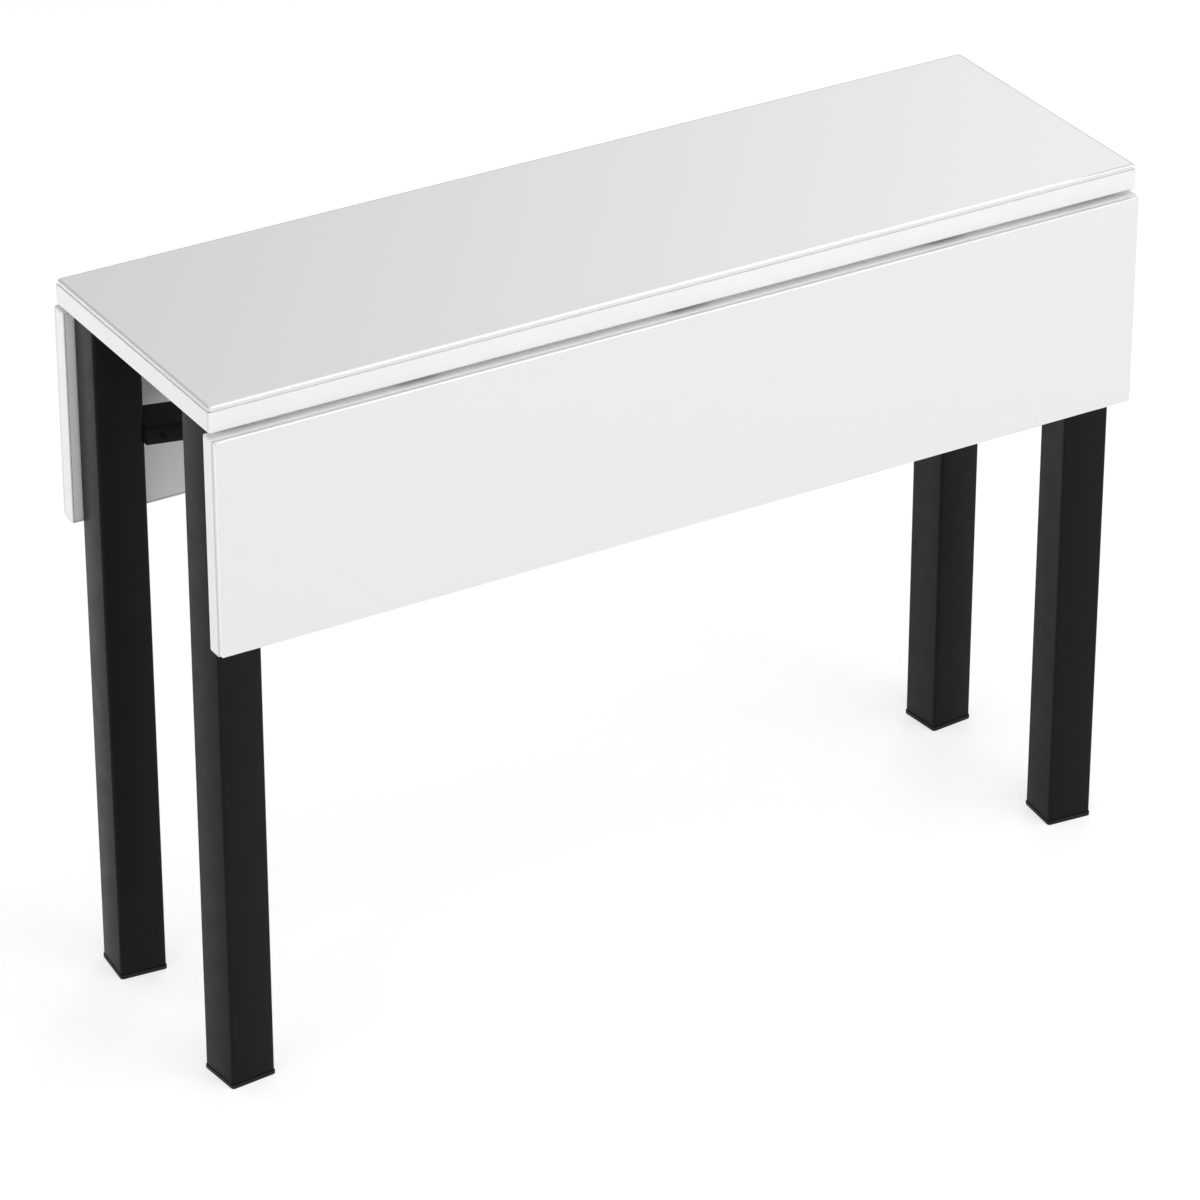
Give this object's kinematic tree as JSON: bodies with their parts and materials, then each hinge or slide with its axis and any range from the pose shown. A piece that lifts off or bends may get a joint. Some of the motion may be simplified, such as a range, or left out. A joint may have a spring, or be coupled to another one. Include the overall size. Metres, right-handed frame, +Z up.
{
  "type": "drop-leaf table",
  "caption": "Narrow kitchen table with a glass-faced top, glass-faced leaves hanging on concealed cranked hinges, and square black legs on crossing diagonal arms.",
  "frame": {"origin": "on the floor under the middle of the table", "axes": "+X along the table to the right, +Y to the rear, +Z up"},
  "size_m": [1.05, 0.337, 0.77],
  "materials": {
    "white_glass": "back-painted white glass, polished, with a ground arris",
    "white_board": "white melamine board with white edging",
    "black_steel": "satin black powder coat",
    "black_plastic": "moulded black plastic",
    "nylon": "natural nylon",
    "zinc_steel": "bright zinc plate"
  },
  "bodies": {
    "top": {"top_board": "white_board", "top_glass": "white_glass", "pivot_post": "black_steel", "pivot_bolt": "zinc_steel", "pivot_nut": "zinc_steel", "pivot_washer_upper": "nylon", "pivot_washer_middle": "nylon", "pivot_washer_lower": "nylon", "front_hinge_1_plate": "zinc_steel", "front_hinge_1_pin": "zinc_steel", "front_hinge_2_plate": "zinc_steel", "front_hinge_2_pin": "zinc_steel", "front_hinge_3_plate": "zinc_steel", "front_hinge_3_pin": "zinc_steel", "rear_hinge_1_plate": "zinc_steel", "rear_hinge_1_pin": "zinc_steel", "rear_hinge_2_plate": "zinc_steel", "rear_hinge_2_pin": "zinc_steel", "rear_hinge_3_plate": "zinc_steel", "rear_hinge_3_pin": "zinc_steel"},
    "upper_arm": {"upper_arm_beam": "black_steel", "upper_arm_beam_sleeve": "zinc_steel", "leg_front_left": "black_steel", "foot_front_left": "black_plastic", "glide_front_left": "black_plastic", "set_screw_front_left": "black_steel", "leg_rear_right": "black_steel", "foot_rear_right": "black_plastic", "glide_rear_right": "black_plastic", "set_screw_rear_right": "black_steel"},
    "lower_arm": {"lower_arm_beam": "black_steel", "lower_arm_beam_sleeve": "zinc_steel", "leg_rear_left": "black_steel", "foot_rear_left": "black_plastic", "glide_rear_left": "black_plastic", "set_screw_rear_left": "black_steel", "leg_front_right": "black_steel", "foot_front_right": "black_plastic", "glide_front_right": "black_plastic", "set_screw_front_right": "black_steel"},
    "front_leaf": {"front_leaf_board": "white_board", "front_leaf_glass": "white_glass", "front_hinge_1_strap": "zinc_steel", "front_hinge_2_strap": "zinc_steel", "front_hinge_3_strap": "zinc_steel"},
    "rear_leaf": {"rear_leaf_board": "white_board", "rear_leaf_glass": "white_glass", "rear_hinge_1_strap": "zinc_steel", "rear_hinge_2_strap": "zinc_steel", "rear_hinge_3_strap": "zinc_steel"}
  },
  "joints": [
    {"name": "front_leaf_raise", "type": "hinge", "parent": "top", "child": "front_leaf", "pos_m": [0, -0.14975, 0.75125], "axis": [-1, 0, 0], "range_deg": [0, 90]},
    {"name": "rear_leaf_raise", "type": "hinge", "parent": "top", "child": "rear_leaf", "pos_m": [0, 0.14975, 0.75125], "axis": [1, 0, 0], "range_deg": [0, 90]},
    {"name": "upper_arm_swing", "type": "hinge", "parent": "top", "child": "upper_arm", "pos_m": [0, 0, 0], "axis": [0, 0, 1], "range_deg": [-5.1, 0.2]},
    {"name": "lower_arm_swing", "type": "hinge", "parent": "top", "child": "lower_arm", "pos_m": [0, 0, 0], "axis": [0, 0, 1], "range_deg": [-0.2, 5.1]}
  ],
  "couplings": [
    {"joint": "lower_arm_swing", "follows": "upper_arm_swing", "ratio": -1}
  ]
}
